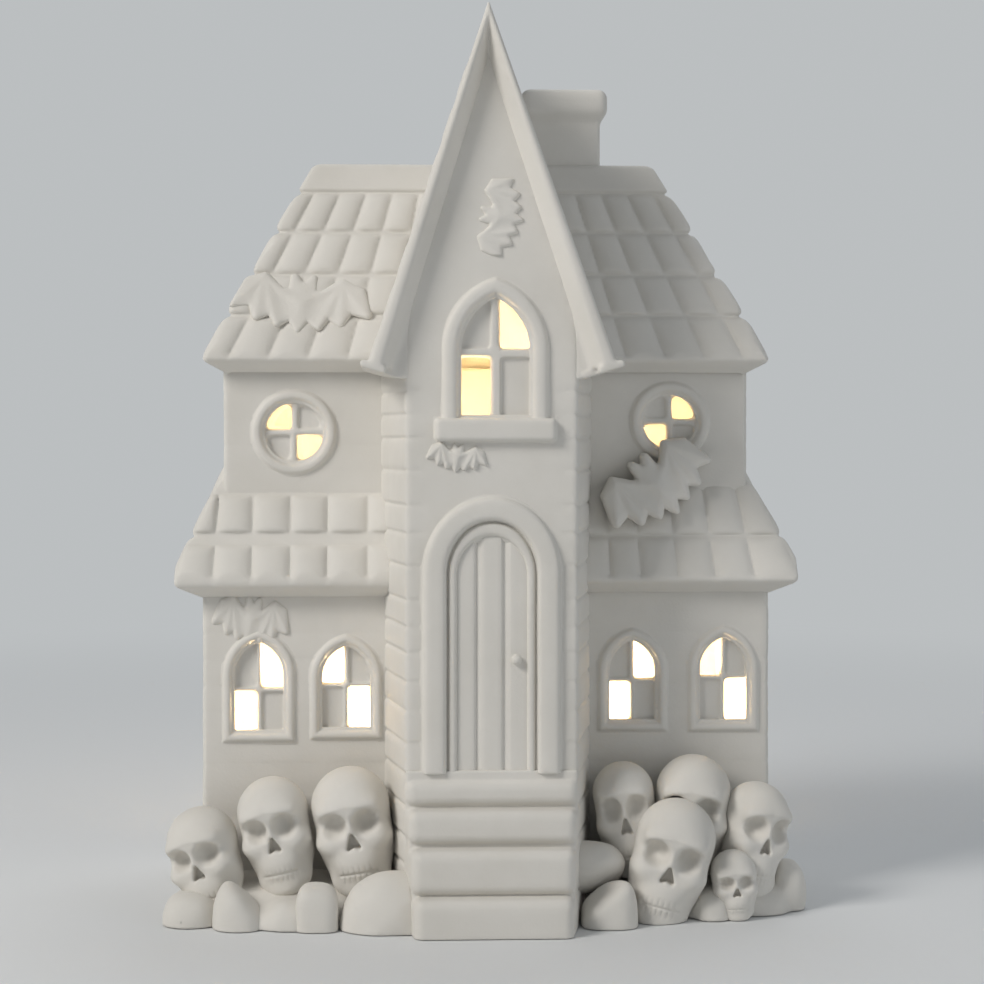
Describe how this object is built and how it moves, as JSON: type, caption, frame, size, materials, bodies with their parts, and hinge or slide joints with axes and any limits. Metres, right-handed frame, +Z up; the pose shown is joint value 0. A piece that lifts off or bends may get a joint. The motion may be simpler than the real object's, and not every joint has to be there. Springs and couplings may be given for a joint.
{
  "type": "ceramic haunted house",
  "caption": "Free-standing unpainted ceramic haunted house with skulls and bats in relief, lit from inside by a removable battery light.",
  "frame": {"origin": "bottom centre of the bounding box, on the surface the house stands on", "axes": "+Z up, +X to the right seen from the front, +Y from the front door to the back"},
  "size_m": [0.2151, 0.15, 0.3],
  "materials": {
    "bisque_ceramic": "matte, unglazed",
    "white_plastic": "satin",
    "frosted_plastic": "frosted, lit from inside",
    "black_plastic": "satin",
    "circuit_board": "solder mask",
    "led_resin": "clear resin over a warm phosphor",
    "cell_wrap": "printed sleeve without lettering",
    "nickel_plate": "nickel plated"
  },
  "bodies": {
    "house": {"base_floor": "bisque_ceramic", "chimney": "bisque_ceramic", "door": "bisque_ceramic", "door_surround": "bisque_ceramic", "front_steps": "bisque_ceramic", "gable_bat": "bisque_ceramic", "left_lower_wall": "bisque_ceramic", "left_mound": "bisque_ceramic", "left_rock_1": "bisque_ceramic", "left_rock_2": "bisque_ceramic", "left_rock_3": "bisque_ceramic", "left_round_window_frame": "bisque_ceramic", "left_skirt_roof": "bisque_ceramic", "left_skull_1": "bisque_ceramic", "left_skull_2": "bisque_ceramic", "left_skull_3": "bisque_ceramic", "left_upper_wall": "bisque_ceramic", "left_window_frame_1": "bisque_ceramic", "left_window_frame_2": "bisque_ceramic", "main_roof": "bisque_ceramic", "rear_lower_wall": "bisque_ceramic", "rear_skirt_roof": "bisque_ceramic", "rear_upper_wall": "bisque_ceramic", "right_lower_wall": "bisque_ceramic", "right_mound": "bisque_ceramic", "right_rock_1": "bisque_ceramic", "right_rock_2": "bisque_ceramic", "right_round_window_frame": "bisque_ceramic", "right_skirt_roof": "bisque_ceramic", "right_skull_1": "bisque_ceramic", "right_skull_2": "bisque_ceramic", "right_skull_3": "bisque_ceramic", "right_skull_4": "bisque_ceramic", "right_skull_5": "bisque_ceramic", "right_upper_wall": "bisque_ceramic", "right_window_frame_1": "bisque_ceramic", "right_window_frame_2": "bisque_ceramic", "roof_bat": "bisque_ceramic", "skirt_bat": "bisque_ceramic", "tower_bat": "bisque_ceramic", "tower_casting": "bisque_ceramic", "tower_roof": "bisque_ceramic", "tower_window_frame": "bisque_ceramic", "wall_bat": "bisque_ceramic"},
    "light_unit": {"battery_1": "cell_wrap", "battery_2": "cell_wrap", "battery_3": "cell_wrap", "circuit_board": "circuit_board", "front_contact": "nickel_plate", "led_1": "led_resin", "led_2": "led_resin", "led_3": "led_resin", "light_bottom_plate": "white_plastic", "light_diffuser": "frosted_plastic", "light_housing": "white_plastic", "rear_contact": "nickel_plate", "switch_body": "black_plastic"},
    "battery_door": {"battery_door": "white_plastic"},
    "switch_knob": {"switch_knob": "black_plastic"}
  },
  "joints": [
    {"name": "light_unit_slide", "type": "slide", "parent": "house", "child": "light_unit", "axis": [0, 1, 0], "range_m": [0, 0.09]},
    {"name": "battery_door_slide", "type": "slide", "parent": "light_unit", "child": "battery_door", "axis": [0, 1, 0], "range_m": [0, 0.03]},
    {"name": "switch_knob_slide", "type": "slide", "parent": "light_unit", "child": "switch_knob", "axis": [1, 0, 0], "range_m": [0, 0.003]}
  ]
}
